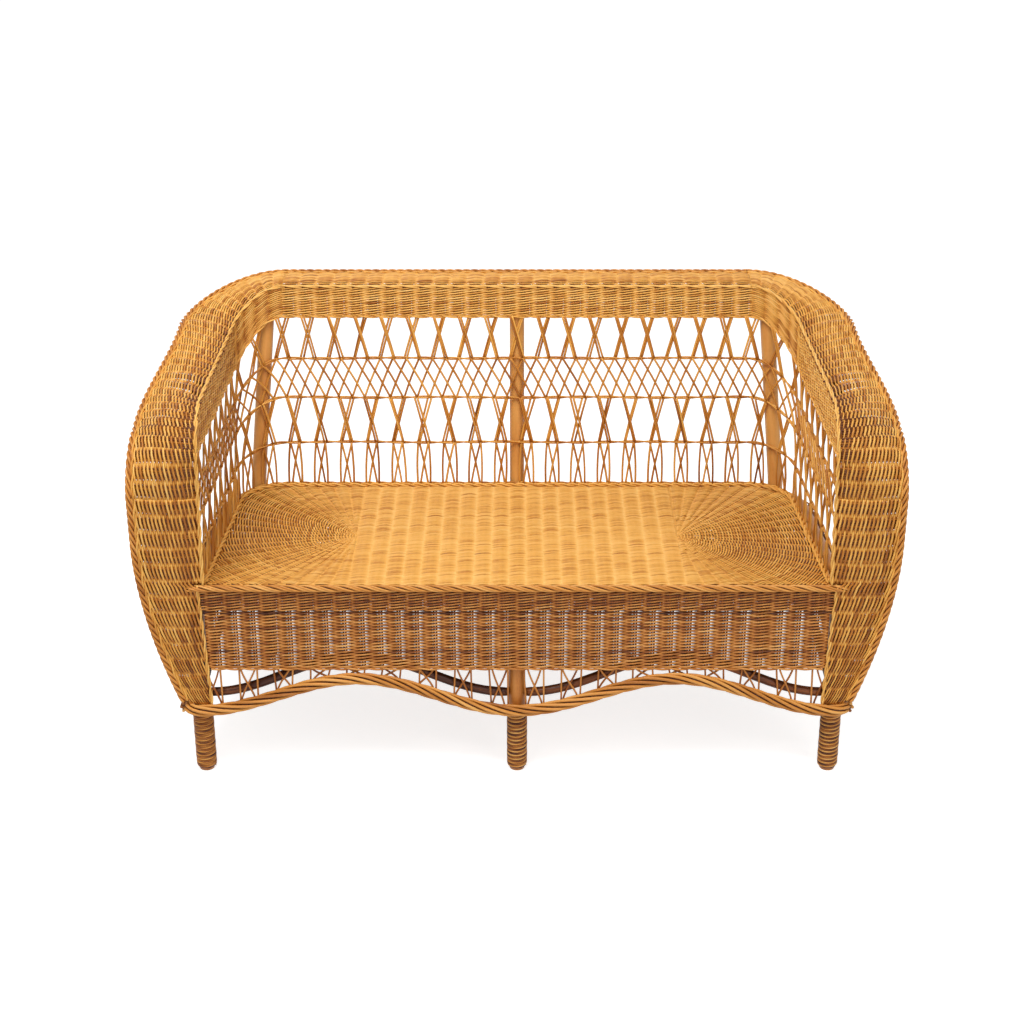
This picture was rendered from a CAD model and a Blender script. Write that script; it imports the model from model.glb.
# Rattan garden sofa: real strands, woven, crossed, twisted and wound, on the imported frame.
# Sizes here are in millimetres in the frame's own axes, and become metres when a mesh is made.
import math

import bpy
import numpy as np
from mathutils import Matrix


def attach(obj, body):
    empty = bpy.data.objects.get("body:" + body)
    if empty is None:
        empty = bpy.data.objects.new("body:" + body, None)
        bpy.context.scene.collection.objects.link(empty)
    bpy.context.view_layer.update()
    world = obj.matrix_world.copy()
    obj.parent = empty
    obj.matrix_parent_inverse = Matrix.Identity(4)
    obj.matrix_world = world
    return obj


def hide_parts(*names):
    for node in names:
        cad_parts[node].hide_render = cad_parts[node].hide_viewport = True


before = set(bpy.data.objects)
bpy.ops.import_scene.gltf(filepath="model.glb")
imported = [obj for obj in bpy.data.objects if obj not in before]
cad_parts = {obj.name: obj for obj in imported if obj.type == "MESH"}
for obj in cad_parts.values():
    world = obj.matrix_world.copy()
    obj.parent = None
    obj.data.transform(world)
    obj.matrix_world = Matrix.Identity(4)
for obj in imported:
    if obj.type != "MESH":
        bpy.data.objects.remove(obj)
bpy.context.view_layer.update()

rng = np.random.default_rng(7)
ROW_TONES = rng.normal(0, 1, 64)

METRE = 1000.0

# Sizes shared with the solids
WIDTH, DEPTH, HEIGHT = 1398.0, 622.0, 810.0
GAP = 0.3
LEG_RADIUS, POST_RADIUS, RAIL_RADIUS = 16.0, 15.0, 14.0
TOP_RAIL_RADIUS, BEARER_RADIUS, BRACE_RADIUS = 12.5, 12.0, 9.0
CORNER_CLEARANCE, POST_HEAD_CLEARANCE, TOP_RAIL_CLEARANCE = 1.6, 9.5, 1.8
SKIN, NET = 7.0, 6.0
BRAID_RADIUS, EDGE_BRAID_RADIUS, BORDER_RADIUS = 7.5, 7.0, 11.0
STRIP_THICKNESS = 11.0
SEAT_HEIGHT, SEAT_THICKNESS = 398.0, 8.0
SEAT_CORNER_HALF, SEAT_FRONT_HALF, CORNER_RADIUS = 550.0, 569.0, 85.0
BACK_LEAN, BACK_BAND = 44.0, 63.0
CORNER_RISE, ARM_FALL = 46.5, 24.0
ARM_BAND_REAR_HEIGHT, ARM_BAND_FRONT_HEIGHT = 94.0, 88.0
RIDGE_INSET, BAND_WIDTH, CROWN = 7.0, 92.0, 0.06
SHOULDER_RADIUS, OUTER_SHOULDER_DEPTH, OUTER_SHOULDER_RISE = 76.0, 96.0, 100.0
OUTER_SHOULDER_DROP, DROP_POWER = 164.0, 1.2
FACE_WIDEST_DROP, TAPER_POWER, FACE_FOOT_WIDTH = 90.0, 1.8, 11.7
FACE_EDGE_LOW, FACE_EDGE_HIGH = 569.0, 581.0
EDGE_BRAID_HEIGHT, STRIP_BOTTOM, APRON_BOTTOM = 392.0, 345.0, 222.0
BORDER_LEG_HEIGHT, BORDER_RISE = 139.0, 63.0
BRACE_LEG_HEIGHT, BRACE_RISE = 168.0, 76.0
POST_LOW_ANGLE, POST_HIGH_ANGLE = 33.0, 17.0

# The crowns of the skirt's border stand this much higher than those of the solid one
BORDER_LIFT = 5.0

# Sizes of the strands and the spacing of rows and stakes
STAKE_PITCH, STEPS_PER_STAKE = 33.0, 6
APRON_ROW, STRIP_ROWS, STRIP_STAKES = 6.1, 7, 36
RIBBON_ROWS, BACK_STAKES, FACE_STAKES, TOP_STAKES = 16, 28, 13, (5, 14, 10)
BAND_ROWS, BACK_BAND_ROWS, BAND_STAKES = 15, 12, (20, 5)
SEAT_CENTRE_X, SEAT_CENTRE_Y, SEAT_MARGIN = 307.0, -80.0, 5.0
SEAT_ROWS, SEAT_PIECE_ROWS, MIDDLE_STAKES, FAN_STAKES = 44, (17, 31), 19, 28
SEAT_STRAND, SEAT_FLAT, SEAT_REACH = 2.1, 0.75, 2.2
WIDE_WEAVER, THIN_WEAVER = 2.2, 1.55
LATTICE_STRAND, LATTICE_REPEATS = 2.15, 37
TIERS = (0.0, 0.255, 0.523, 0.754, 1.0)
# Strands of a stake, as places beside the middle of the stake
WIDE_POSTS = (-8.6, -4.3, 0.0, 4.3, 8.6)
NARROW_POSTS = (-4.2, 0.0, 4.2)
BACK_BAND_POSTS = (-5.4, -1.8, 1.8, 5.4)
SEAT_POSTS, FAN_POSTS = (-6.3, -2.1, 2.1, 6.3), (-6.0, -2.0, 2.0, 6.0)
# Where the stakes of the arm end on the ribbon's outer and inner edge
STAKE_OUTER_ENDS = (0.0, 1.0, 1.5, 2.0, 2.5, 3.0, 4.0)
STAKE_INNER_ENDS = (0.0, 0.827, 0.99, 1.37, 2.27, 2.8, 4.0)
LIFT_UP, LIFT_BACK = 0.91, 0.415

# Places that follow from them
TIP8 = 1 / math.cos(math.pi / 8)
BRAID_REACH = 2 * TIP8 * BRAID_RADIUS + 2 * GAP
FACE_FRONT = -DEPTH / 2 + 2 * BORDER_RADIUS - SKIN
FRONT_PLANE = FACE_FRONT + SKIN
RIDGE_BACK_Y = DEPTH / 2 - BRAID_REACH - BAND_WIDTH
SEAT_BACK_Y = RIDGE_BACK_Y - BACK_LEAN
SEAT_REAR_Y = SEAT_BACK_Y + SEAT_MARGIN
POST_OFFSET = SKIN + GAP + POST_RADIUS
SKIRT_OFFSET = SKIN + 2 * GAP + 2 * LEG_RADIUS + CORNER_CLEARANCE
LEG_Y = FRONT_PLANE + GAP + LEG_RADIUS
LEG_X = SEAT_FRONT_HALF + NET + GAP + LEG_RADIUS
RIDGE_TOP = HEIGHT - CROWN * BAND_WIDTH
ARM_RIDGE_REAR = RIDGE_TOP - CORNER_RISE
ARM_RIDGE_FRONT = ARM_RIDGE_REAR - ARM_FALL
ARM_BAND_REAR = ARM_RIDGE_REAR - ARM_BAND_REAR_HEIGHT
ARM_BAND_FRONT = ARM_RIDGE_FRONT - ARM_BAND_FRONT_HEIGHT
ARM_OUTER_SHOULDER = ARM_RIDGE_FRONT - OUTER_SHOULDER_DROP
FACE_WIDEST_HEIGHT = ARM_OUTER_SHOULDER - FACE_WIDEST_DROP
SEAT_UNDER = SEAT_HEIGHT - SEAT_THICKNESS
RAIL_HEIGHT = SEAT_UNDER - GAP - RAIL_RADIUS
FACE_WIDEST = WIDTH / 2 - BRAID_REACH
FACE_FOOT = BORDER_LEG_HEIGHT + BORDER_RADIUS + GAP
APRON_HALF = LEG_X + LEG_RADIUS / 2
FACE_FOOT_HALF = APRON_HALF + FACE_FOOT_WIDTH
SHOULDER_Y = FACE_FRONT + SHOULDER_RADIUS
OUTER_SHOULDER_Y = FACE_FRONT + OUTER_SHOULDER_DEPTH
INNER_SHOULDER = ARM_RIDGE_FRONT - SHOULDER_RADIUS
REAR_Y = SEAT_BACK_Y + BACK_LEAN - CORNER_RADIUS
QUARTER = math.pi / 2
BACK_HALF = SEAT_CORNER_HALF - CORNER_RADIUS
ACROSS, FRONT, UP = np.array([1.0, 0.0, 0.0]), np.array([0.0, -1.0, 0.0]), np.array([0.0, 0.0, 1.0])
SIDES = (("right", 1.0), ("left", -1.0))
PLACES = SIDES + (("middle", 0.0),)


def lerp(a, b, t):
    return a + (b - a) * t


def smooth(t):
    t = np.clip(t, 0, 1)
    return t * t * (3 - 2 * t)


def points(x, y, z):
    return np.stack(np.broadcast_arrays(x, y, z), axis=-1).astype(float)


def unit(v):
    length = np.linalg.norm(v, axis=-1, keepdims=True)
    return v / np.maximum(length, 1e-9)


def mirror(path, turn):
    return path * points(turn, 1, 1)


def both_halves(right):
    """The whole of a path across the sofa, from its right half."""
    return np.concatenate([right, mirror(right, -1)[::-1]])


def distances(path):
    """How far along a path each of its points lies."""
    return np.concatenate([[0], np.cumsum(np.linalg.norm(np.diff(path, axis=0), axis=1))])


def square_to(tangent, normals):
    """Normals, turned square to the tangents."""
    return unit(normals - tangent * np.sum(normals * tangent, axis=-1, keepdims=True))


def resample(path, step):
    """A path cut into even steps."""
    gone = distances(path)
    count = max(2, int(round(gone[-1] / step)) + 1)
    at = np.linspace(0, gone[-1], count)
    return np.stack([np.interp(at, gone, path[:, i]) for i in range(3)], axis=1)


def rounded(path):
    """A path with its corners cut off, so that it bends more smoothly."""
    a = path[:-1] * 0.75 + path[1:] * 0.25
    b = path[:-1] * 0.25 + path[1:] * 0.75
    return np.concatenate([path[:1], np.stack([a, b], axis=1).reshape(-1, 3), path[-1:]])


# The shape of the sofa


def by_span(p, *values):
    """The values for p up to 1, up to 2 and so on, and the last one beyond."""
    return np.select([p <= i for i in range(1, len(values))], values[:-1], values[-1])


def wall(u, level, offset):
    """Plan of the wall round the seat: u is 0..1 on the side, 1..2 round the corner, 2..3 on the back."""
    front_half = SEAT_FRONT_HALF - RIDGE_INSET * level
    corner_half = SEAT_CORNER_HALF - RIDGE_INSET / 2 * level
    back_y = SEAT_BACK_Y + BACK_LEAN * level
    centre_x, centre_y = corner_half - CORNER_RADIUS, back_y - CORNER_RADIUS
    angle = (np.clip(u, 1, 2) - 1) * QUARTER
    reach = CORNER_RADIUS + offset
    x = by_span(u, lerp(front_half, corner_half, u) + offset, centre_x + reach * np.cos(angle),
                centre_x * (3 - u))
    y = by_span(u, lerp(FRONT_PLANE + GAP, centre_y, u), centre_y + reach * np.sin(angle), back_y + offset)
    return x, y


def level_at(z):
    return np.clip((z - SEAT_HEIGHT) / (RIDGE_TOP - SEAT_HEIGHT), 0, 1)


def ridge_height(u, y):
    along = (y - SHOULDER_Y) / (REAR_Y - SHOULDER_Y)
    bend = INNER_SHOULDER + np.sqrt(np.maximum(0, SHOULDER_RADIUS ** 2 - (SHOULDER_Y - y) ** 2))
    arm = np.where(y >= SHOULDER_Y, lerp(ARM_RIDGE_FRONT, ARM_RIDGE_REAR, along), bend)
    return np.where(u >= 1, lerp(ARM_RIDGE_REAR, RIDGE_TOP, smooth(u - 1)), arm)


def arm_drop(p):
    """How much lower the ribbon's outer edge is than the ridge."""
    full = ridge_height(0, OUTER_SHOULDER_Y) - ARM_OUTER_SHOULDER - OUTER_SHOULDER_RISE
    return full * np.clip(3 - p, 0, 1) ** DROP_POWER


def band_low(u):
    corner = lerp(ARM_BAND_REAR, RIDGE_TOP - BACK_BAND, smooth(u - 1))
    return np.where(u >= 1, corner, lerp(ARM_BAND_FRONT, ARM_BAND_REAR, u))


def on_wall(u, z, offset):
    x, y = wall(u, level_at(z), offset)
    return points(x, y, z)


def face_outer(z):
    share = np.clip((FACE_WIDEST_HEIGHT - z) / (FACE_WIDEST_HEIGHT - FACE_FOOT), 0, 1)
    return lerp(FACE_WIDEST, FACE_FOOT_HALF, share ** TAPER_POWER)


def ribbon_edge(p, offset, shoulder, depth, rise, x_at, arm_x, ease, drop=0.0):
    """An edge of the ribbon: p is 1 below the shoulder, 2 behind it, 3 to 4 at the corner, 5 mid-back."""
    angle = (np.clip(p, 1, 2) - 1) * QUARTER
    face_z, bend_z = lerp(FACE_FOOT, shoulder, p), shoulder + rise * np.sin(angle)
    rear_x, rear_y = wall(1, 1, offset)
    front_y = FACE_FRONT + depth
    arm_y = lerp(front_y, rear_y, p - 2)
    back_u = np.clip(p - 2, 1, 3)
    back_x, back_y = wall(back_u, 1, offset)
    x = by_span(p, x_at(face_z), x_at(bend_z), lerp(arm_x, rear_x, ease(p - 2)), back_x)
    y = by_span(p, FACE_FRONT + 0 * p, front_y - depth * np.cos(angle), arm_y, back_y)
    z = by_span(p, face_z, bend_z, ridge_height(0, arm_y) - drop, ridge_height(back_u, back_y))
    return points(x, y, z)


def ribbon_inner(p):
    def x_at(z):
        return wall(0, level_at(z), 0)[0]

    return ribbon_edge(p, 0, INNER_SHOULDER, SHOULDER_RADIUS, SHOULDER_RADIUS, x_at, x_at(ARM_RIDGE_FRONT),
                       lambda t: t)


def ribbon_outer(p):
    return ribbon_edge(p, BAND_WIDTH, ARM_OUTER_SHOULDER, OUTER_SHOULDER_DEPTH, OUTER_SHOULDER_RISE,
                       face_outer, FACE_WIDEST, smooth, arm_drop(p))


def onward(curve, at, step=0.01, last=5):
    """The way along a curve from just before a place to just after it."""
    return curve(np.clip(at + step, 0, last)) - curve(np.clip(at - step, 0, last))


def ribbon(p, v, depth):
    """A place on the crowned ribbon of the arm and back, depth below its outer surface."""
    p, v = np.broadcast_arrays(p, v)

    def flat(a):
        return lerp(ribbon_inner(a), ribbon_outer(a), v[..., None])

    across = ribbon_outer(p) - ribbon_inner(p)
    crown = CROWN * np.linalg.norm(across, axis=-1) * 4 * v * (1 - v)
    inward = unit(np.cross(onward(flat, p), across))
    return flat(p) + inward * (depth - crown)[..., None]


# Strands


def put(name, data):
    item = bpy.data.objects.new(name, data)
    bpy.context.scene.collection.objects.link(item)
    return item


class Bundle:
    """Strands that become one mesh, each with its own tone and its own strip in the maps."""

    def __init__(self, name, slot, nodes):
        self.name, self.slot, self.nodes = name, slot, nodes
        self.rings, self.tones, self.lengths, self.sides = [], [], [], []

    def strand(self, path, normals=None, radius=2.0, flat=1.0, sides=5, tone=None, shade=0.0):
        """A tube along a path, flattened along the normals, with a tone that varies slowly on its way."""
        tangent = unit(np.gradient(path, axis=0))
        if normals is None:
            upright = abs(tangent[:, 2]).mean() > 0.8
            normals = np.broadcast_to(ACROSS if upright else UP, path.shape)
        normal = square_to(tangent, normals)
        side = np.cross(tangent, normal)
        angle = (np.arange(sides) + 0.5) / sides * 2 * math.pi
        radius = np.broadcast_to(radius, (len(path),))[:, None, None]
        ring = (normal[:, None, :] * np.cos(angle)[None, :, None] * flat
                + side[:, None, :] * np.sin(angle)[None, :, None]) * radius
        gone = distances(path)
        base = rng.normal(0.5, 0.17) if tone is None else tone + rng.normal(0, 0.06)
        long_wave, short_wave = 61.0, 23.0
        slow = (0.05 * np.sin(gone / long_wave + rng.uniform(0, 6.3))
                + 0.04 * np.sin(gone / short_wave + rng.uniform(0, 6.3)))
        self.rings.append(path[:, None, :] + ring)
        self.tones.append(np.clip(base + slow + shade, 0, 1))
        self.lengths.append(gone + rng.uniform(0, 4000))
        self.sides.append(sides)

    def build(self):
        """The mesh of all strands: tubes of quads, closed at both ends."""
        verts, corners, starts, smooth_sides, strip_uv, strand_uv = [], [], [], [], [], []
        first, loop = 0, 0
        strips = len(self.rings)
        for i, (ring, gone, sides) in enumerate(zip(self.rings, self.lengths, self.sides)):
            n = len(ring)
            verts.append(ring.reshape(-1, 3))
            row, k = np.meshgrid(np.arange(n - 1), np.arange(sides), indexing="ij")
            near, far, after = row * sides, (row + 1) * sides, (k + 1) % sides
            quad = np.stack([near + k, near + after, far + after, far + k], -1)
            corners.append(quad.reshape(-1) + first)
            starts.append(loop + 4 * np.arange((n - 1) * sides))
            loop += quad.size
            smooth_sides.append(np.ones(len(starts[-1]), bool))
            share = (gone - gone[0]) / max(gone[-1] - gone[0], 1e-6)
            around = np.stack([k, k + 1, k + 1, k], -1) / sides
            along, metres = (np.stack([at[row], at[row], at[row + 1], at[row + 1]], -1)
                             for at in (share, gone / METRE))
            strip_uv.append(np.stack([along, (i + 0.02 + 0.96 * around) / strips], -1).reshape(-1, 2))
            strand_uv.append(np.stack([metres, around], -1).reshape(-1, 2))
            for end, order in ((0, range(sides - 1, -1, -1)), ((n - 1) * sides, range(sides))):
                corners.append(np.array([first + end + j for j in order]))
                starts.append(np.array([loop]))
                smooth_sides.append(np.zeros(1, bool))
                loop += sides
                strip_uv.append(np.tile([float(end > 0), (i + 0.5) / strips], (sides, 1)))
                strand_uv.append(np.tile([gone[0] / METRE, 0.5], (sides, 1)))
            first += n * sides
        mesh = bpy.data.meshes.new(self.name)
        place, corner, start = np.concatenate(verts) / METRE, np.concatenate(corners), np.concatenate(starts)
        mesh.vertices.add(len(place))
        mesh.vertices.foreach_set("co", place.astype(np.float32).ravel())
        mesh.loops.add(len(corner))
        mesh.loops.foreach_set("vertex_index", corner.astype(np.int32))
        mesh.polygons.add(len(start))
        mesh.polygons.foreach_set("loop_start", start.astype(np.int32))
        mesh.polygons.foreach_set("use_smooth", np.concatenate(smooth_sides))
        mesh.update(calc_edges=True)
        for label, data in (("OFBake", strip_uv), ("Strand", strand_uv)):
            layer = mesh.uv_layers.new(name=label, do_init=False)
            layer.data.foreach_set("uv", np.concatenate(data).astype(np.float32).ravel())
        tones = [np.repeat(tone, sides) for tone, sides in zip(self.tones, self.sides)]
        tone = mesh.attributes.new("tone", "FLOAT", "POINT")
        tone.data.foreach_set("value", np.concatenate(tones).astype(np.float32))
        piece = put(self.name, mesh)
        mesh.materials.append(material(self.slot))
        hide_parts(*self.nodes)
        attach(piece, "root")


bundles = []


def bundle(name, slot, *nodes):
    """A new piece of strands, which stands for the nodes given, or else for the node of its own name."""
    bundles.append(Bundle(name, slot, nodes or (name,)))
    return bundles[-1]


def surface_frame(surface, a, b):
    """Points of a surface and its unit normals, for shares a along and b across."""
    along = onward(lambda s: surface(s, b), a, 2e-3, 1)
    across = onward(lambda s: surface(a, s), b, 2e-3, 1)
    return surface(a, b), unit(np.cross(along, across))


def worn(wind, contrast, glint):
    """Darker where a weaver dips behind, and lighter where two weavers cross."""
    return contrast * (np.cos(wind) - 1) / 2 + glint * np.abs(np.sin(wind)) ** 8


def pair_row(piece, k, place, normal, across, size, tone, flat=0.8, reach=2.4, side=0.9, lag=0.0, keep=None,
             contrast=0.7, glint=0.35, near=1.0, patch=1.0, dark=0.0):
    """Two weavers, twisted half a turn between stakes, so that one passes before each stake.

    The weaver behind the stakes lies lag further across, and near makes the twist smaller."""
    for half in (0, 1):
        wind = math.pi * (k - 0.5 + half)
        aside = near * (side * size * np.sin(wind) + lag * (1 - np.cos(wind)) / 2)
        path = place + normal * (reach * near * np.cos(wind))[:, None] + across * aside[:, None]
        path = path + rng.normal(0, 0.12, path.shape)
        shade = worn(wind, contrast, glint) + patch * patches(k) - dark
        for run in runs(keep, place):
            piece.strand(path[run], normal[run], size[run], flat, tone=tone, shade=shade[run])


def twine(piece, surface, rows, stakes, radius, face=1.0, posts=WIDE_POSTS, post_radius=2.4, post_tone=0.0,
          tone=0.55, fade=0.0, keep=None, **weave):
    """Rows of two weavers each round stakes of flat strands.

    Face turns the front to the other side, and fade darkens the start of a row. Radius may be a function of
    the shares along and across, and posts one of the stake's number."""
    k = np.linspace(0, stakes, stakes * STEPS_PER_STAKE + 1)
    share = k / stakes
    for row in range(rows):
        b = (row + 0.5) / rows
        size = np.broadcast_to(radius(share, b) if callable(radius) else radius, share.shape)
        place, normal = surface_frame(surface, share, np.full_like(k, b))
        normal = normal * face
        across = unit(np.cross(normal, np.gradient(place, axis=0))) * face
        pair_row(piece, k, place, normal, across, size, tone + 0.1 * ROW_TONES[row], keep=keep,
                 dark=fade * (1 - share), **weave)
    steps = max(6, rows // 2)
    b = np.linspace(0, 1, steps)
    for stake in range(stakes):
        place, normal = surface_frame(surface, np.full(steps, (stake + 0.5) / stakes), b)
        beside = unit(np.cross(normal, np.gradient(place, axis=0)))
        for offset in posts(stake) if callable(posts) else posts:
            for run in runs(keep, place):
                piece.strand((place + beside * offset)[run], normal[run], post_radius, 0.6, tone=post_tone)


def patches(k):
    """Slight changes of tone from column to column of a row."""
    return np.interp(k, np.arange(int(k[-1]) + 2), rng.normal(0, 0.07, int(k[-1]) + 2))


def runs(keep, place):
    """Slices of a path where keep(place) holds."""
    if keep is None:
        return [slice(0, len(place))]
    changes = np.flatnonzero(np.diff(np.concatenate([[0], keep(place), [0]])))
    return [slice(start, end) for start, end in changes.reshape(-1, 2) if end - start > 2]


def rope(piece, path, normals, count, spread, radius, turn, step, squash=1.0, sides=6, tone=None, start=0.0):
    """Strands twisted round a path: count of them, one turn in the given length."""
    fine = resample(path, step)
    tangent = unit(np.gradient(fine, axis=0))
    if normals.ndim == 2:
        given, at = np.linspace(0, 1, len(normals)), np.linspace(0, 1, len(fine))
        normals = np.stack([np.interp(at, given, normals[:, i]) for i in range(3)], axis=1)
    normal = square_to(tangent, normals)
    side = np.cross(tangent, normal)
    gone = distances(fine)
    for i in range(count):
        angle = 2 * math.pi * (gone / turn + i / count + start)
        ring = normal * (np.cos(angle) * spread * squash)[:, None] + side * (np.sin(angle) * spread)[:, None]
        piece.strand(fine + ring, normal, radius, sides=sides, tone=tone)


def core(piece, path, normals, radius, tone=0.0, sides=6):
    """One strand that fills the middle of a rope."""
    rope(piece, path, normals, 1, 0.0, radius, STAKE_PITCH, 12, sides=sides, tone=tone)


def edge_pair(piece, path, normals, size, tone, pitch=2 * STAKE_PITCH):
    """Two weavers twisted round each other, which close a woven edge."""
    rope(piece, path, normals, 2, size, size, pitch, 5, tone=tone)


def pole(name, path, radius, sides=20, tone=0.5):
    """A smooth pole with faint knots, its ends slightly rounded."""
    knot_pitch, knot_length, knot_height, rounding = 210.0, 9.0, 0.35, 6.0
    fine = resample(path, 9.0)
    gone = distances(fine)
    place = (gone / knot_pitch + rng.uniform(0.2, 0.8)) % 1.0
    swell = knot_height * np.exp(-(((place - 0.5) * knot_pitch / knot_length) ** 2))
    to_end = np.minimum(gone, gone[-1] - gone)
    size = (radius - knot_height + swell) * (0.9 + 0.1 * np.clip(to_end / rounding, 0, 1))
    bundle(name, "pole").strand(fine, None, size, sides=sides, tone=tone)


# Materials


def linear(colour):
    return tuple(((c + 0.055) / 1.055) ** 2.4 if c > 0.04045 else c / 12.92 for c in colour) + (1.0,)


CANE = {
    "woven_cane": ((0.34, 0.15, 0.02), (0.72, 0.44, 0.14), (0.91, 0.67, 0.31), (0.98, 0.81, 0.49), 0.45),
    "skirt_cane": ((0.24, 0.09, 0.01), (0.58, 0.32, 0.11), (0.78, 0.51, 0.23), (0.93, 0.72, 0.44), 0.45),
    "braided_cane": ((0.28, 0.11, 0.02), (0.62, 0.36, 0.12), (0.83, 0.56, 0.25), (0.96, 0.76, 0.45), 0.42),
    "pole": ((0.24, 0.10, 0.03), (0.55, 0.30, 0.11), (0.76, 0.48, 0.21), (0.88, 0.64, 0.34), 0.40),
}
made = {}


def fill(tree, node, inputs):
    """Each input named gets a link from another node's output, or a constant value."""
    for name, value in inputs.items():
        if isinstance(value, bpy.types.NodeSocket):
            tree.links.new(value, node.inputs[name])
        else:
            node.inputs[name].default_value = value


def add_node(tree, kind, inputs, output=0, **settings):
    """A new node with its inputs and settings; gives one of its outputs, if it has any."""
    node = tree.nodes.new(f"ShaderNode{kind}")
    for name, value in settings.items():
        setattr(node, name, value)
    fill(tree, node, inputs)
    return node.outputs[output] if node.outputs else None


def material(slot):
    """Lacquered cane: tone from strand to strand, streaks and fibres along each strand."""
    if slot in made:
        return made[slot]
    *colours, roughness = CANE[slot]
    look = bpy.data.materials.new(slot)
    look.use_nodes = True
    tree = look.node_tree
    mixed = add_node(tree, "Attribute", {}, "Fac", attribute_name="tone")
    uv = add_node(tree, "UVMap", {}, uv_map="Strand")

    def noise(scale, stretch, detail):
        place = add_node(tree, "Mapping", {"Vector": uv, "Scale": stretch})
        return add_node(tree, "TexNoise", {"Vector": place, "Scale": scale, "Detail": detail}, "Fac")

    def combine(operation, a, b):
        return add_node(tree, "Math", {0: a, 1: b}, operation=operation)

    streaks, fibres = noise(6.0, (2.2, 1.4, 1.0), 3.0), noise(20.0, (8.0, 2.5, 1.0), 2.0)
    for texture, share in ((streaks, 0.5), (fibres, 0.25)):
        mixed = combine("ADD", mixed, combine("MULTIPLY", combine("SUBTRACT", texture, 0.5), share))
    ramp = add_node(tree, "ValToRGB", {"Fac": mixed})
    stops = ramp.node.color_ramp.elements
    stops[0].color, stops[1].color = linear(colours[0]), linear(colours[3])
    for place, colour in ((0.25, colours[1]), (0.5, colours[2])):
        stops.new(place).color = linear(colour)
    bump = add_node(tree, "Bump", {"Strength": 0.25, "Distance": 0.0004, "Height": fibres})
    gloss = combine("ADD", combine("MULTIPLY", fibres, 0.22), roughness - 0.11)
    fill(tree, tree.nodes["Principled BSDF"],
         {"Base Color": ramp, "Roughness": gloss, "Specular IOR Level": 0.3, "Normal": bump})
    made[slot] = look
    return look


# Frame poles


def rail_under(p):
    """A place on the top rail, which runs under the ribbon at p."""
    inner, outer = ribbon_inner(p), ribbon_outer(p)
    depth = SKIN + TOP_RAIL_CLEARANCE + TIP8 * TOP_RAIL_RADIUS
    sink = depth * (inner[2] - outer[2]) / np.linalg.norm(outer - inner)
    level_width = math.hypot(outer[0] - inner[0], outer[1] - inner[1])
    return ribbon(p, (POST_OFFSET + sink) / level_width, depth)


def back_post(low_u, high_u, offset, clearance):
    """A post, upright to the seat and then leaning back, with its head under the top rail."""
    top = rail_under(2 + high_u)[2] - TIP8 * TOP_RAIL_RADIUS - GAP - clearance
    foot, head = points(*wall(low_u, 0, offset), 0), points(*wall(high_u, level_at(top), offset), top)
    knee = foot + UP * SEAT_HEIGHT
    return np.array([foot, foot + UP * (SEAT_HEIGHT - 40), knee, lerp(knee, head, 0.1), head])


middle_post = back_post(3, 3, POST_OFFSET, 0)
corner_post = back_post(*(2 - math.radians(angle) / QUARTER for angle in (POST_LOW_ANGLE, POST_HIGH_ANGLE)),
                        POST_OFFSET + CORNER_CLEARANCE, POST_HEAD_CLEARANCE)


def frame_poles():
    post_share = 1 - math.radians(POST_LOW_ANGLE) / QUARTER
    clear = (POST_RADIUS + GAP + 2) / (CORNER_RADIUS + POST_OFFSET) / QUARTER
    x, y = wall(1 + (post_share - clear) * np.linspace(0, 1, 8), 0, POST_OFFSET)
    side_rail = np.concatenate([[[LEG_X, LEG_Y + LEG_RADIUS + GAP, RAIL_HEIGHT]], points(x, y, RAIL_HEIGHT)])
    for side, turn in SIDES:
        x = turn * LEG_X
        pole(f"front_leg_{side}", points(x, LEG_Y, [0, INNER_SHOULDER - GAP]), LEG_RADIUS)
        pole(f"back_post_{side}", rounded(mirror(corner_post, turn)), POST_RADIUS, tone=0.85)
        pole(f"seat_rail_{side}", mirror(side_rail, turn), RAIL_RADIUS, 14)
    pole("front_leg_middle", points(0, LEG_Y, [0, RAIL_HEIGHT - RAIL_RADIUS - GAP]), LEG_RADIUS)
    pole("back_post_middle", rounded(middle_post), POST_RADIUS, tone=0.9)
    rear_y = SEAT_BACK_Y + NET - RAIL_RADIUS
    for name, end, y in (("front", LEG_X - LEG_RADIUS - GAP, LEG_Y),
                         ("back", corner_post[0][0] - POST_RADIUS - GAP, rear_y)):
        pole(f"seat_rail_{name}", points([-end, end], y, RAIL_HEIGHT), RAIL_RADIUS, 14)
    low, high, z = LEG_Y + RAIL_RADIUS + GAP, rear_y - RAIL_RADIUS - GAP, SEAT_UNDER - GAP - BEARER_RADIUS
    for name, share in PLACES:
        x = share * (LEG_X - LEG_RADIUS) / 2
        pole(f"seat_bearer_{name}", points(x, [low, high], z), BEARER_RADIUS, 14)
    foot = points(LEG_X, LEG_Y, [INNER_SHOULDER + GAP, INNER_SHOULDER + GAP + TOP_RAIL_RADIUS / 2])
    right = np.array([*foot, *(rail_under(p) for p in (1.5, 1.75, *np.linspace(2, 4, 17)))])
    pole("top_rail", rounded(both_halves(right)), TOP_RAIL_RADIUS, 14)


def arch_height(share, low, rise):
    return low + rise * np.sin(share * math.pi) ** 2


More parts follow.
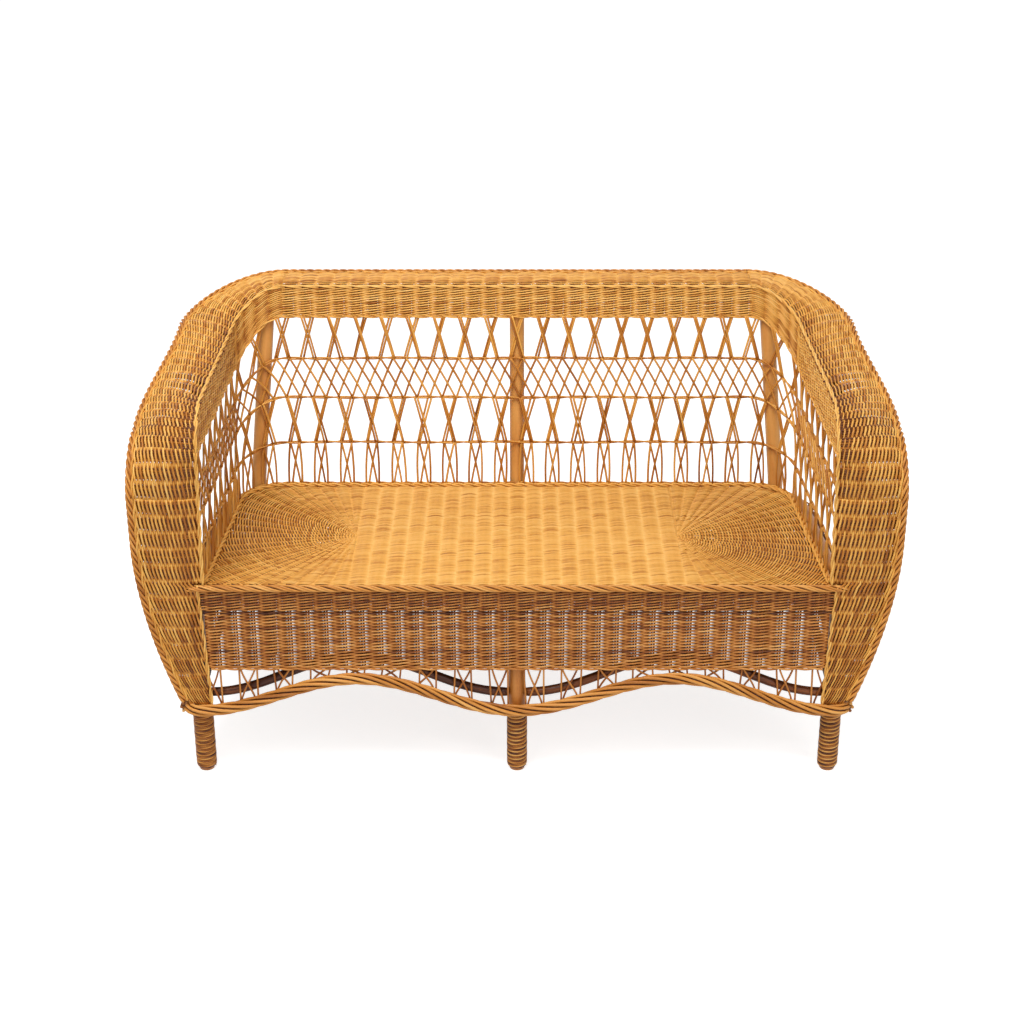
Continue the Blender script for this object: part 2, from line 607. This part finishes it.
def braces():
    """Dark arched poles behind the open strips, from leg to leg."""
    front_y = FRONT_PLANE + GAP + BRACE_RADIUS
    reach = LEG_RADIUS + GAP
    corner, middle = corner_post[0], middle_post[0]
    t = np.linspace(0, 1, 28)
    rise = np.clip((t - 0.01) / 0.98, 0, 1)
    for side, turn in SIDES:
        for where, along, start, end in (
                ("front", t, (reach, front_y), (LEG_X - reach, front_y)),
                ("back", t, (POST_RADIUS + GAP, middle[1]), (corner[0] - POST_RADIUS - GAP, corner[1])),
                ("side", smooth(rise), (LEG_X, LEG_Y + reach), (corner[0], corner[1] - POST_RADIUS - GAP))):
            path = points(lerp(start[0], end[0], along), lerp(start[1], end[1], t),
                          arch_height(rise, BRACE_LEG_HEIGHT, BRACE_RISE))
            pole(f"arch_brace_{where}_{side}", mirror(path, turn), BRACE_RADIUS, 12, tone=0.05)


# Cane wound round the feet


def wraps():
    """Two strands, wound side by side round each leg over a dark core."""
    low, high = 2.5, BORDER_LEG_HEIGHT - BORDER_RADIUS - GAP
    strand, spacing, tones, rounding = 1.8, 1.17, (0.5, 0.2), 14
    strands, steps = len(tones), 26
    turns = (high - low - 2 * strand) / (2 * strand * strands * spacing)
    climb = high - low - 2 * strand * strands
    angle = np.linspace(0, turns * 2 * math.pi, int(turns * steps))
    out = points(np.cos(angle), np.sin(angle), 0)
    corner, middle = corner_post[0], middle_post[0]
    for row, end, middle_y, radius in (("front", (LEG_X, LEG_Y), LEG_Y, LEG_RADIUS),
                                       ("back", corner[:2], middle[1], POST_RADIUS)):
        for name, share in PLACES:
            x, y = share * end[0], end[1] if share else middle_y
            wrap = bundle(f"leg_wrap_{row}_{name}", "braided_cane")
            for i, tone in enumerate(tones):
                z = low + strand * (1 + 2 * i) * spacing + climb * angle / angle[-1]
                foot = 0.84 + 0.16 * np.sqrt(np.clip((z - low) / rounding, 0, 1))
                ring = (radius + 1.1 * strand) * foot + 0.25 * np.sin(angle * 0.37 + i)
                shade = (0.1 * np.sin(angle * 0.23 + 2 * i) * np.sin(angle * 1.03)
                         + 0.12 * np.sin(angle * 2.61 + i))
                wrap.strand(points(x, y, z) + out * ring[:, None], out, strand, 0.8, 7, tone, shade)
            wrap.strand(points(x, y, np.linspace(low + 3, high, 6)), ACROSS, radius + 0.4, sides=20, tone=0.0)


# Seat


def in_seat(place):
    x, y = np.abs(place[..., 0]), place[..., 1]
    side_u = np.clip((y - FRONT_PLANE - GAP) / (SEAT_BACK_Y - CORNER_RADIUS - FRONT_PLANE - GAP), 0, 1)
    side = lerp(SEAT_FRONT_HALF, SEAT_CORNER_HALF, side_u) + SEAT_MARGIN
    centre_x, centre_y = SEAT_CORNER_HALF - CORNER_RADIUS, SEAT_BACK_Y - CORNER_RADIUS
    corner = (x > centre_x) & (y > centre_y)
    rounded_off = np.hypot(x - centre_x, y - centre_y) < CORNER_RADIUS + SEAT_MARGIN
    return (y > FRONT_PLANE) & (y < SEAT_REAR_Y) & (x < side) & (~corner | rounded_off)


def fan_angles():
    """Angles from the fan's centre to even places along the outline, from the front round to the back."""
    angle = np.linspace(-QUARTER, QUARTER, 721)
    reach = np.zeros_like(angle)
    for far in np.arange(150.0, 420.0, 1.0):
        place = points(SEAT_CENTRE_X + far * np.cos(angle), SEAT_CENTRE_Y + far * np.sin(angle), 0)
        reach = np.where(in_seat(place), far, reach)
    edge = np.stack([reach * np.cos(angle), reach * np.sin(angle)], -1)
    gone = distances(edge)
    return gone / gone[-1], angle, reach


SEAT_LEVEL = SEAT_HEIGHT - SEAT_REACH - SEAT_STRAND * SEAT_FLAT
FAN_SHARES, FAN_ANGLES, FAN_REACHES = fan_angles()


def round_reach(angle):
    """How far the last row of a fan lies from the fan's centre."""
    side = SEAT_CORNER_HALF + SEAT_MARGIN - SEAT_CENTRE_X
    deep = np.where(angle < 0, SEAT_CENTRE_Y - FRONT_PLANE, SEAT_REAR_Y - SEAT_CENTRE_Y)
    power = np.where(angle < 0, 2.4, 3.2)
    return ((np.cos(angle) / side) ** power + (np.abs(np.sin(angle)) / deep) ** power) ** (-1 / power)


def seat_row(t):
    """A row round the fans and the middle at share t of the way out, and where it lies in a fan."""
    fan = FAN_STAKES if t > 0.3 else FAN_STAKES // 2 if t > 0.1 else 8
    angle = np.interp(np.linspace(0, fan, fan * STEPS_PER_STAKE + 1) / fan, FAN_SHARES, FAN_ANGLES)
    reach = t * round_reach(angle)
    ends = points(SEAT_CENTRE_X + reach * np.cos(angle), SEAT_CENTRE_Y + reach * np.sin(angle), SEAT_LEVEL)
    across = lerp(SEAT_CENTRE_X, -SEAT_CENTRE_X, np.linspace(0, 1, MIDDLE_STAKES * STEPS_PER_STAKE + 1))
    back = points(across, SEAT_CENTRE_Y + t * (SEAT_REAR_Y - SEAT_CENTRE_Y), SEAT_LEVEL)
    front = points(-across, SEAT_CENTRE_Y - t * (SEAT_CENTRE_Y - FRONT_PLANE), SEAT_LEVEL)
    place = np.concatenate([back[:-1], mirror(ends, -1)[::-1][:-1], front[:-1], ends])
    middle, end = len(back) - 1, len(ends)
    return place, np.repeat([False, True, False, True], [middle, end - 1, middle, end])


def seat_weave(pieces):
    """Rows of two weavers each, the inner ones in the first piece and the outer ones in the last."""
    for row in range(int(SEAT_ROWS * 1.4)):
        t = (row + 0.5) / SEAT_ROWS
        place, in_fan = seat_row(t)
        k = np.arange(len(place)) / STEPS_PER_STAKE
        away = -unit(np.cross(unit(np.roll(place, -1, axis=0) - np.roll(place, 1, axis=0)), UP))
        away[[0, -1]] = -FRONT
        near = np.where(in_fan, min(1.0, 0.3 + t * 4), 1.0)
        fan_share = smooth((np.abs(place[:, 0]) - SEAT_CENTRE_X + 50) / 120)
        size = SEAT_STRAND * lerp(1.0, 0.82, fan_share * min(1.0, t * 2))
        lag, contrast, glint = (lerp(*ends, fan_share) for ends in ((2.4, 1.0), (0.35, 0.7), (0.4, 0.3)))
        piece, up = pieces[sum(row >= first for first in SEAT_PIECE_ROWS)], np.broadcast_to(UP, place.shape)
        pair_row(piece, k, place, up, away, size, 0.5 + 0.03 * ROW_TONES[row], SEAT_FLAT, SEAT_REACH, 0.95,
                 lag, in_seat, contrast, glint, near, patch=0.3)


def seat_stakes(piece):
    """Stakes of flat strands, straight across the middle and spread out in the fans."""
    for edge in (FRONT_PLANE, SEAT_REAR_Y):
        for i in range(MIDDLE_STAKES):
            x = lerp(-SEAT_CENTRE_X, SEAT_CENTRE_X, (i + 0.5) / MIDDLE_STAKES)
            for beside in SEAT_POSTS:
                path = points(x + beside, np.linspace(SEAT_CENTRE_Y, edge, 12), SEAT_LEVEL)
                piece.strand(path, UP, 2.2, flat=0.6, tone=0.1)
    for i in range(FAN_STAKES):
        angle = float(np.interp((i + 0.5) / FAN_STAKES, FAN_SHARES, FAN_ANGLES))
        far = float(np.interp(angle, FAN_ANGLES, FAN_REACHES))
        along = np.linspace(0.1 if i % 4 == 0 else 0.3, 1, 16) * far
        for side, turn in SIDES:
            for offset in FAN_POSTS:
                beside = offset * lerp(0.3, 1.0, along / far)
                path = points(turn * (SEAT_CENTRE_X + along * math.cos(angle) - beside * math.sin(angle)),
                              SEAT_CENTRE_Y + along * math.sin(angle) + beside * math.cos(angle), SEAT_LEVEL)
                piece.strand(path, UP, 2.2, flat=0.6, tone=0.02)


def seat():
    inner, middle, outer, rim = (bundle(f"seat_panel_{part}", "woven_cane", "seat_panel")
                                 for part in ("inner", "middle", "outer", "rim"))
    seat_weave((inner, middle, outer))
    seat_stakes(inner)
    right = on_wall(np.linspace(0.01, 3, 160), SEAT_HEIGHT + 1.4, -2.2)
    whole = np.concatenate([right, mirror(right, -1)[::-1][1:]])
    rope(rim, whole, UP, 2, 2.1, 2.1, 42.0, 4, tone=0.55)
    edge = bundle("seat_edge_braid", "braided_cane")
    line = points([-APRON_HALF, APRON_HALF], FRONT_PLANE - EDGE_BRAID_RADIUS, EDGE_BRAID_HEIGHT)
    for start in (0.0, 0.125):
        rope(edge, line, UP, 3, 4.9, 2.0, 3 * STAKE_PITCH, 5, start=start, tone=0.48)
    core(edge, line, UP, 3.3)


# Skirt


def face_edge(z):
    """Half the width between the arm faces, below the seat."""
    return lerp(FACE_EDGE_LOW, FACE_EDGE_HIGH, (z - FACE_FOOT) / (SEAT_HEIGHT - FACE_FOOT))


def beside_face(place):
    return np.abs(place[..., 0]) < face_edge(place[..., 2]) - 1


def arches(first, last, count):
    """The border's height along a skirt, with a number of arches between first and last."""
    def low_at(distance):
        share = np.clip((distance - first) / (last - first), 0, 1)
        return arch_height(share * count, BORDER_LEG_HEIGHT, BORDER_RISE + BORDER_LIFT)
    return low_at


def open_strip(strip, length, stakes, at, low_at):
    """Pairs of upright strands and pairs of leaning ones, from the apron down to the border."""
    pitch = length / stakes
    t = np.linspace(0, 1, 9)
    for i in range(0, stakes, 2):
        left, right = (i + 0.5) * pitch, (i + 1.5) * pitch
        for head, foot, depth in ((left, left, 1.5), (right, right, 3.5), (left + 3, right - 3, 3.6),
                                  (right - 3, left + 3, 1.4)):
            lean = rng.normal(0, 1.5, 2)
            along = lerp(head + lean[0], foot + lean[1], smooth(t) * 0.4 + t * 0.6)
            x, y = at(along, depth)
            bottom = low_at(along) + BORDER_RADIUS * 0.4
            strip.strand(points(x, y, lerp(APRON_BOTTOM + 4, bottom, t)), None, 1.9, sides=6, tone=0.4)


def skirt(name, length, top, at, low_at, face, outward, overrun=0.0, keep=None, wrap=None):
    """A woven apron, the open strip below it, and the twisted border that its strands run into."""
    stakes = 2 * int(round(length / STAKE_PITCH / 2))
    low = APRON_BOTTOM + 5
    apron = bundle(f"{name}_apron", "skirt_cane")

    def surface(a, b):
        return points(*at(a * length, SKIN / 2), lerp(low, top, b))

    twine(apron, surface, int(round((top - low) / APRON_ROW)), stakes, 1.9, face, (-2.2, 2.2), 2.0, 0.1, 0.53,
          keep=keep, side=0.8, lag=-1.9, contrast=0.5, glint=0.2)
    s = np.linspace(0, length, stakes * 2 + 1)
    low_row = points(*at(s, SKIN / 2 + 1), APRON_BOTTOM + 3)
    for run in runs(keep, low_row):
        edge_pair(apron, low_row[run], outward(s)[run], 2.0, None)
    open_strip(bundle(f"{name}_open_strip", "skirt_cane"), length, stakes, at, low_at)
    border = bundle(f"{name}_border", "braided_cane")
    s = np.linspace(-overrun + 0.6, length + overrun - 0.6, 120)
    path, normals = points(*at(s, BORDER_RADIUS), low_at(s)), outward(s)
    if wrap:
        path, normals = wrap(path, normals)
    rope(border, path, normals, 6, 8.8, 3.0, 235.0, 8, squash=0.83, sides=7)
    core(border, path, normals, 5.8, sides=7)


def around_legs(path, normals):
    """The front border's path, bent back round the outside of the end legs."""
    middle = path[np.abs(path[:, 0]) < LEG_X]
    angle = np.linspace(-QUARTER, -0.35, 9)
    reach = LEG_Y - FRONT_PLANE + BORDER_RADIUS
    right = points(LEG_X + reach * np.cos(angle), LEG_Y + reach * np.sin(angle), BORDER_LEG_HEIGHT)
    out = points(np.cos(angle), np.sin(angle), 0)
    whole = np.concatenate([mirror(right, -1)[::-1], middle, right])
    return whole, np.concatenate([mirror(out, -1)[::-1], np.tile(FRONT, (len(middle), 1)), out])


def skirts():
    leg_place, front_length = APRON_HALF - LEG_X, 2 * APRON_HALF

    def front_at(s, offset):
        return s - APRON_HALF, FRONT_PLANE - offset + 0 * s

    def back_at(s, offset):
        return s - BACK_HALF, SEAT_BACK_Y + SKIRT_OFFSET + offset + 0 * s

    skirt("front", front_length, STRIP_BOTTOM - GAP, front_at,
          arches(leg_place, front_length - leg_place, 2), 1.0, lambda s: np.tile(FRONT, (len(s), 1)),
          LEG_X + LEG_RADIUS + BORDER_RADIUS - APRON_HALF, beside_face, around_legs)
    low, high = STRIP_BOTTOM + 1, EDGE_BRAID_HEIGHT - EDGE_BRAID_RADIUS - GAP

    def strip_surface(a, b):
        return points(lerp(-APRON_HALF, APRON_HALF, a), FRONT_PLANE - STRIP_THICKNESS / 2, lerp(low, high, b))

    twine(bundle("front_strip", "skirt_cane"), strip_surface, STRIP_ROWS, STRIP_STAKES, 1.5, keep=beside_face,
          flat=0.9, reach=2.6, side=1.0, lag=-1.9, contrast=1.0, glint=0.45)
    arc = (CORNER_RADIUS + SKIRT_OFFSET) * QUARTER
    length = SIDE_LINE + arc - GAP
    for side, turn in SIDES:
        def side_at(s, offset, turn=turn):
            u = np.where(s <= SIDE_LINE, s / SIDE_LINE, 1 + (s - SIDE_LINE) / arc)
            x, y = wall(np.clip(u, 0, 2), 0, SKIRT_OFFSET + offset)
            return turn * x, y

        def outward(s, at=side_at):
            near, far = at(s, 0.0), at(s, 1.0)
            return points(far[0] - near[0], far[1] - near[1], 0)

        skirt(f"side_{side}", length, RAIL_HEIGHT, side_at, arches(LEG_RADIUS, length, 1), turn, outward)
    skirt("back", 2 * BACK_HALF, RAIL_HEIGHT, back_at, arches(0, 2 * BACK_HALF, 2), -1.0,
          lambda s: np.tile(-FRONT, (len(s), 1)))


# Openwork of the back and arms


SIDE_LINE = float(wall(1, 0, 0)[1] - wall(0, 0, 0)[1])
ARC = CORNER_RADIUS * QUARTER
REACH = BACK_HALF + ARC + SIDE_LINE


def on_net(s, share, offset):
    """A place on the lattice, for a distance from the middle of the back and a share of the height."""
    d = np.abs(s)
    u = np.select([d <= BACK_HALF, d <= BACK_HALF + ARC], [3 - d / BACK_HALF, 2 - (d - BACK_HALF) / ARC],
                  1 - (d - BACK_HALF - ARC) / SIDE_LINE)
    u = np.clip(u, 0, 3)
    place = on_wall(u, lerp(SEAT_HEIGHT + 1, band_low(u) + 3, share), offset)
    return mirror(place, np.where(s < 0, -1.0, 1.0))


def net_normal(s, share):
    return unit(on_net(s, share, 1.0) - on_net(s, share, 0.0))


def lattices():
    back = bundle("back_lattice", "woven_cane")
    others = [bundle(f"{where}_lattice_{side}", "woven_cane")
              for side, _ in SIDES for where in ("corner", "side")]

    def owner(s):
        return back if abs(s) <= BACK_HALF else others[2 * (s < 0) + (abs(s) > BACK_HALF + ARC)]

    pitch = 2 * REACH / LATTICE_REPEATS
    t = np.linspace(0, 1, 11)

    def slope(head, foot, tier, offset, beside, bow):
        """One strand from the top of a tier to its foot."""
        head = head + rng.normal(0, 0.9)
        foot = foot + rng.normal(0, 0.9)
        s = lerp(head, foot, t) + beside + bow * pitch * np.sin(math.pi * t)
        if abs(s).max() > REACH - 1.5:
            return
        share = lerp(TIERS[tier], TIERS[tier - 1], t)
        depth = offset + 0.35 * np.sin(math.pi * 3 * t + rng.uniform(0, 6))
        normals = net_normal(s, share)
        size = LATTICE_STRAND + rng.normal(0, 0.08)
        owner(s.mean()).strand(on_net(s, share, depth), normals, size, sides=6, tone=0.34)

    def slopes(middle, tier, strands, places=(0,)):
        """Strands given by their heads and feet, in cells from a middle, by their layer and by their bow."""
        for beside in places:
            for head, foot, layer, bow in strands:
                slope(middle + head * pitch, middle + foot * pitch, tier, layer, beside, bow)

    front, behind, double = 1.6, 4.6, (-2.1, 2.1)
    for i in range(-1, LATTICE_REPEATS + 1):
        c = -REACH + (i + 0.5) * pitch
        slopes(c, 4, ((-0.21, 0.25, front, 0.012), (0.21, -0.25, behind, -0.012)), double)
        for middle in (c - 0.25 * pitch, c + 0.25 * pitch):
            slopes(middle, 3, ((0, 0.875, front, 0.03), (0, -0.625, behind, -0.03)))
        c = c + 0.375 * pitch
        slopes(c, 2, ((-0.25, 0.19, front, 0.012), (0.25, -0.19, behind, -0.012)), double)
        slopes(c, 1, ((0.19, 0.25, front, 0.03), (0.19, -0.15, front, -0.02),
                      (-0.19, -0.25, behind, -0.03), (-0.19, 0.15, behind, 0.02)))

    ends = (-REACH + 1, -BACK_HALF - ARC, -BACK_HALF, BACK_HALF, BACK_HALF + ARC, REACH - 1)
    for share in TIERS[:-1]:
        for low, high in zip(ends, ends[1:]):
            s = np.linspace(low, high, max(12, int((high - low) / 12)))
            level = np.full_like(s, share if share else 0.006)
            path = on_net(s, level, 3.1)
            path[:, 2] += 0.8 * np.sin(s / 47.0 + share * 9) * (share > 0)
            rope(owner((low + high) / 2), path, net_normal(s, level), 2, 1.75, 1.8,
                 2 * pitch if share else pitch, 7, sides=5, tone=0.36)


# Woven bands and ribbon


def bands():
    stakes = sum(BAND_STAKES)
    for side, turn in SIDES:
        band = bundle(f"inner_band_{side}", "woven_cane")

        def surface(a, b, turn=turn):
            u = np.interp(a, (0, BAND_STAKES[0] / stakes, 1), (0, 1, 2 - 1e-6))
            high = ridge_height(u, wall(u, 1, 0)[1]) - 3
            return mirror(on_wall(u, lerp(band_low(u) + 3, high, b), SKIN / 2), turn)

        twine(band, surface, BAND_ROWS, stakes, 1.7, -turn, NARROW_POSTS, 2.3, 0.05, flat=0.9, reach=2.1,
              side=0.7, glint=0.15)
        u = np.linspace(0, 2, 50)
        z = band_low(u) + 1.5
        edge_pair(band, mirror(on_wall(u, z, SKIN / 2 - 0.5), turn),
                  mirror(on_wall(u, z, SKIN) - on_wall(u, z, 0), turn), 1.9, 0.6)
    back = bundle("inner_band_back", "woven_cane")

    def back_surface(a, b):
        z = lerp(RIDGE_TOP - BACK_BAND + 3, RIDGE_TOP - 3, b)
        return points(BACK_HALF * (2 * a - 1), wall(2, level_at(z), SKIN / 2)[1], z)

    twine(back, back_surface, BACK_BAND_ROWS, BACK_STAKES, 1.6, 1.0, BACK_BAND_POSTS, 2.2, 0.08, reach=2.1,
          side=0.95, contrast=0.5)
    edge_pair(back, back_surface(np.array([0.0, 1.0]), np.zeros(2)) - 1.5 * UP, FRONT, 1.9, 0.6)


def lift(p, v):
    """How far up and back a place of the ribbon is, along a line that rises steeply toward the back."""
    place = lerp(ribbon_inner(p), ribbon_outer(p), np.asarray(v, float)[..., None])
    return LIFT_UP * place[..., 2] + LIFT_BACK * place[..., 1]


def stake_place(p, v):
    """p of a place on the straight stake whose outer end is at p and whose inner end is further forward."""
    p, v = np.broadcast_arrays(p, v)
    low, high = np.interp(p, STAKE_OUTER_ENDS, STAKE_INNER_ENDS), p.copy()
    aim = lerp(lift(low, np.zeros_like(v)), lift(high, np.ones_like(v)), v)
    for _ in range(12):
        middle = (low + high) / 2
        short = lift(middle, v) < aim
        low, high = np.where(short, middle, low), np.where(short, high, middle)
    return (low + high) / 2


def outer_place(a):
    """p of the outer end at a share of the top's stakes, from the shoulder to the back."""
    return np.interp(a, np.cumsum((0,) + TOP_STAKES) / sum(TOP_STAKES), (1.0, 2.0, 3.0, 4.0))


def ribbon_size(a, b):
    """Weavers of the ribbon are thinner beside the ridge."""
    return (WIDE_WEAVER if b > 0.2 else THIN_WEAVER) + 0 * a


def top_posts(stake):
    """Stakes stand wider apart over the shoulder than further back."""
    return WIDE_POSTS if stake <= TOP_STAKES[0] else NARROW_POSTS


def edging(piece, p, v, turn, spread, tone):
    """Two weavers twisted along an edge of the ribbon."""
    v = np.full_like(p, v)
    above = ribbon(p, v, 0.0) - ribbon(p, v, 2.0)
    edge_pair(piece, mirror(ribbon(p, v, SKIN / 2 - spread), turn), mirror(above, turn), spread, tone)


def ribbons():
    for side, turn in SIDES:
        top = bundle(f"arm_top_{side}", "woven_cane")
        twine(top, lambda a, b: mirror(ribbon(stake_place(outer_place(a), b), b, SKIN / 2), turn),
              RIBBON_ROWS, sum(TOP_STAKES), ribbon_size, -turn, top_posts, post_tone=0.03, tone=0.5,
              flat=0.75, reach=2.2, contrast=0.6)
        face_rows(bundle(f"arm_face_{side}", "woven_cane"), turn)
        edging(top, np.linspace(1.0, 4.0, 90), 0.008, turn, 1.7, 0.65)
        edging(top, np.linspace(1.0, 4.0, 90), 1.0, turn, 2.0, 0.45)
    back = bundle("back_top", "woven_cane")

    def surface(a, b):
        v = np.maximum(b, 0.0) ** 0.8 * (1 - 0.012 * (1 - b))
        return mirror(ribbon(np.full_like(a, 4.0), v, SKIN / 2), 2 * a - 1)

    twine(back, surface, RIBBON_ROWS, BACK_STAKES, ribbon_size, tone=0.47, flat=0.75, reach=2.2, side=0.8,
          glint=0.4)
    for b, tone in ((0.008, 0.65), (0.985, 0.45)):
        edge_pair(back, surface(np.array([0.0, 1.0]), np.full(2, b)) + 1.8 * UP, UP, 1.7, tone)


def face_rows(face, turn):
    """Weavers up the arm's face: they follow its outer edge, and end where the apron and seat edge begin."""
    notch = EDGE_BRAID_HEIGHT + EDGE_BRAID_RADIUS

    def surface(a, b):
        z = ribbon(stake_place(a, b), b, 0.0)[..., 2]
        inner, outer = wall(0, level_at(np.maximum(z, SEAT_HEIGHT)), 0)[0], face_outer(z)
        shrink = lerp(0.66, 1.0, smooth((z - FACE_FOOT) / (notch - FACE_FOOT)))
        width = np.where(z < notch, (np.maximum(FACE_WIDEST, outer) - inner) * shrink, outer - inner)
        length = np.hypot(np.maximum(outer - inner, 20), a * (INNER_SHOULDER - ARM_OUTER_SHOULDER))
        y = FACE_FRONT + SKIN / 2 - CROWN * length * 4 * b * (1 - b)
        return points(turn * (outer - width * (1 - b)), y, z)

    def keep(place):
        x, z = np.abs(place[..., 0]), place[..., 2]
        return (z >= notch) | (x > face_edge(z) + 1.5)

    def size(a, b):
        return lerp(THIN_WEAVER, WIDE_WEAVER, smooth(a * 2.2))

    twine(face, surface, RIBBON_ROWS, FACE_STAKES, size, -turn, post_tone=0.03, tone=0.5, fade=0.16,
          keep=keep, reach=2.3, contrast=0.65)
    low, high = np.linspace(FACE_FOOT, notch, 24), np.linspace(notch, INNER_SHOULDER, 24)
    for x, z in ((face_edge(low), low), (wall(0, level_at(high), 0)[0] + 1, high)):
        edge_pair(face, points(turn * x, FACE_FRONT, z), FRONT, 1.9, 0.6, 60.0)
    edging(face, np.linspace(0.02, 1.0, 60), 1.0, turn, 2.0, 0.45)


def outer_braids():
    def beside(p):
        away = square_to(unit(onward(ribbon_outer, p)), ribbon_outer(p) - ribbon_inner(p))
        return ribbon(p, np.ones_like(p), SKIN / 2) + away * BRAID_RADIUS, away

    def braid(name, path, away, turn):
        piece = bundle(f"outer_braid_{name}", "braided_cane")
        rope(piece, path, away, 4, 4.8, 2.4, turn * 66.0, 4, tone=0.45)
        core(piece, path, away, 3.2, 0.2)

    start = 10.0 / (INNER_SHOULDER - FACE_FOOT)
    place, away = beside(np.concatenate([np.linspace(start, 1, 40), np.linspace(1, 4, 100)[1:]]))
    for side, turn in SIDES:
        braid(side, mirror(place, turn), mirror(away, turn), turn)
    end, away = beside(np.array([4.0, 4.0]))
    braid("back", np.array([mirror(end[0], -1), end[0]]), away[0], 1.0)


for make in (frame_poles, braces, wraps, seat, skirts, lattices, bands, ribbons, outer_braids):
    make()
for item in bundles:
    item.build()


# Floor, light and camera


WHITE = (1, 1, 1, 1)
LAMP_AIM = np.array([0, 0, 0.4])


def seen_directly(tree):
    """1 for rays from the camera, from a reflection or through glass, and 0 for others."""
    path = tree.nodes.new("ShaderNodeLightPath")
    total = path.outputs["Is Camera Ray"]
    for label in ("Is Glossy Ray", "Is Transmission Ray"):
        total = add_node(tree, "Math", {0: total, 1: path.outputs[label]}, operation="MAXIMUM")
    return total


def stage_floor():
    """A pale matt floor, which is as white as the backdrop where it is seen directly."""
    half, below = 30.0, 0.0005
    mesh = bpy.data.meshes.new("floor")
    corners = [(-half, -half, 0), (half, -half, 0), (half, half, 0), (-half, half, 0)]
    mesh.from_pydata(corners, [], [(0, 1, 2, 3)])
    floor = put("floor", mesh)
    floor.location.z = -below
    look = bpy.data.materials.new("floor")
    look.use_nodes = True
    tree = look.node_tree
    shader = tree.nodes["Principled BSDF"]
    fill(tree, shader, {"Base Color": (0.8, 0.8, 0.8, 1), "Roughness": 0.9, "Specular IOR Level": 0.0})
    strength = add_node(tree, "Math", {0: seen_directly(tree), 1: 0.75}, operation="MULTIPLY")
    glow = add_node(tree, "Emission", {"Color": WHITE, "Strength": strength})
    both = add_node(tree, "AddShader", {0: shader.outputs["BSDF"], 1: glow})
    fill(tree, tree.nodes["Material Output"], {"Surface": both})
    mesh.materials.append(look)


def lights():
    """A dim, warm room that lights the sofa, a white one that is seen behind it, and two lamps."""
    world = bpy.data.worlds.new("studio")
    bpy.context.scene.world = world
    world.use_nodes = True
    tree = world.node_tree
    tree.nodes.clear()
    room, white = (add_node(tree, "Background", {"Color": colour, "Strength": strength})
                   for colour, strength in (((1, 0.985, 0.96, 1), 0.38), (WHITE, 1.0)))
    mix = add_node(tree, "MixShader", {"Fac": seen_directly(tree), 1: room, 2: white})
    add_node(tree, "OutputWorld", {"Surface": mix})
    for name, place, size, power in (("key", (-0.7, -1.3, 3.6), 1.6, 98.0),
                                     ("fill", (2.4, -3.0, 2.2), 2.4, 30.0)):
        lamp = bpy.data.lights.new(name, "AREA")
        lamp.size, lamp.energy = size, power
        holder = put(name, lamp)
        holder.location = place
        away = np.array(place) - LAMP_AIM
        holder.rotation_euler = (math.acos(away[2] / np.linalg.norm(away)), 0, math.atan2(away[0], -away[1]))


def camera():
    scene = bpy.context.scene
    data = bpy.data.cameras.new("camera")
    data.sensor_width = 36.0
    data.lens = 67.66
    data.shift_x = -5 / 1024
    data.clip_end = 100
    view = put("camera", data)
    view.location = (0, -3.416, 1.9665)
    view.rotation_euler = (math.radians(65.5), 0, 0)
    scene.camera = view
    scene.view_settings.view_transform = "Standard"


stage_floor()
lights()
camera()
bpy.context.view_layer.update()
